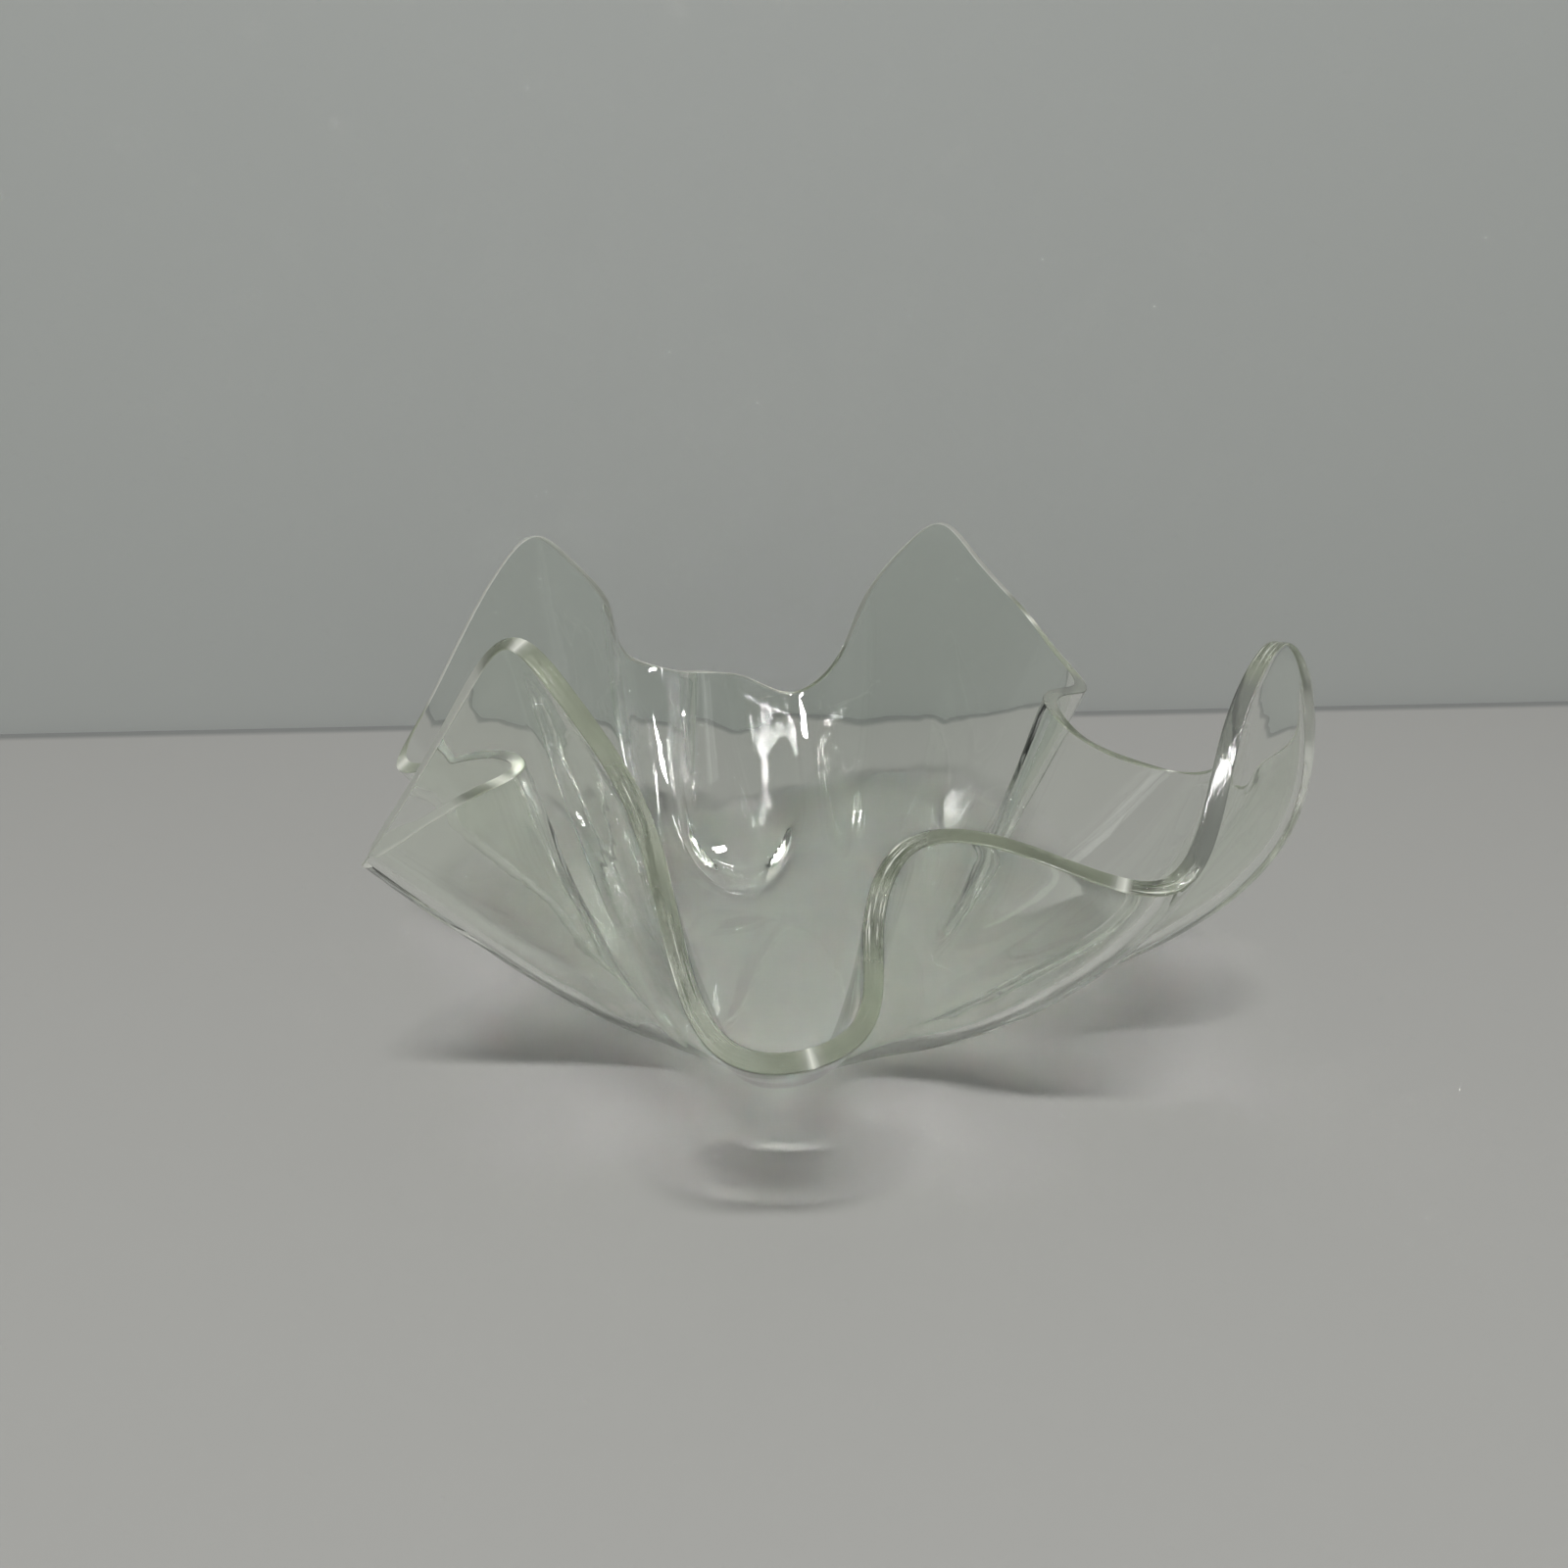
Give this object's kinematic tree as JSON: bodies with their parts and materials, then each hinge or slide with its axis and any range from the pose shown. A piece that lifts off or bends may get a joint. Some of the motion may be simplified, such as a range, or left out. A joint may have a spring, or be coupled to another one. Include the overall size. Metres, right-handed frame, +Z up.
{
  "type": "handkerchief bowl",
  "caption": "Decorative bowl of one square clear sheet, softened and draped so that its corners rise and folds press in halfway along its sides.",
  "frame": {"origin": "centre of the flat round underside that the bowl rests on", "axes": "+Z up through the open top; -Y towards the low front lip, as the picture is taken; +X to the viewer's right"},
  "size_m": [0.3531, 0.3676, 0.2028],
  "materials": {
    "clear_acrylic": "clear, polished faces with a faint grey-green tint, and a sawn and flame-polished cut edge"
  },
  "bodies": {
    "root": {"draped_sheet": "clear_acrylic"}
  },
  "joints": []
}
